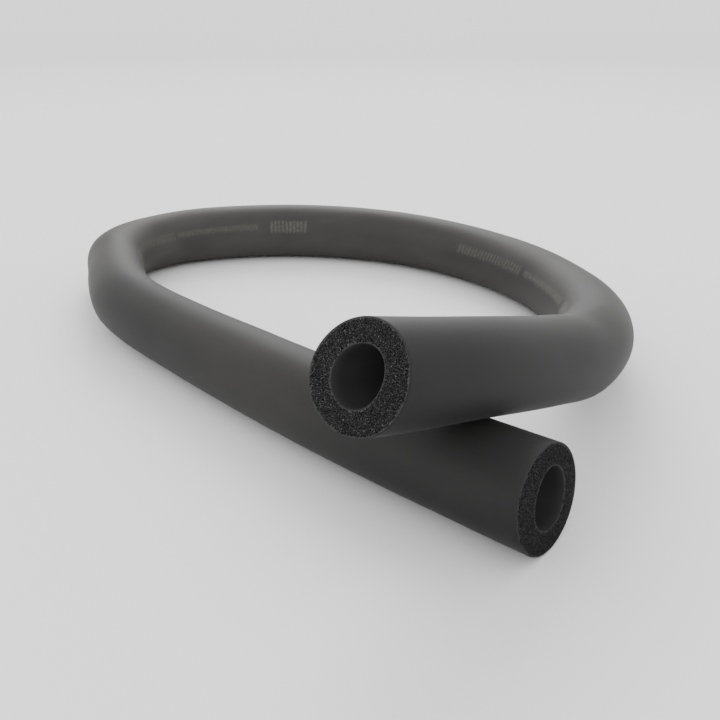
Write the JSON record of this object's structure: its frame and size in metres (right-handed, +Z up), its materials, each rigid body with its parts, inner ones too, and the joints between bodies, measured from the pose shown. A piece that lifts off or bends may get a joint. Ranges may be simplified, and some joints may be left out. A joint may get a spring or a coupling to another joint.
{
  "type": "pipe insulation lagging",
  "caption": "Length of soft foam rubber tube that lags a pipe, lying in one loose loop with its upper end resting across the lower end.",
  "frame": {"origin": "middle of the footprint, on the floor", "axes": "+X along the lower end and out of its mouth, +Z up"},
  "size_m": [0.7514, 0.613, 0.1699],
  "materials": {
    "foam_rubber": "matt closed-cell foam with a smooth skin and granular cut ends"
  },
  "bodies": {
    "root": {"insulation_tube": "foam_rubber"}
  },
  "joints": []
}
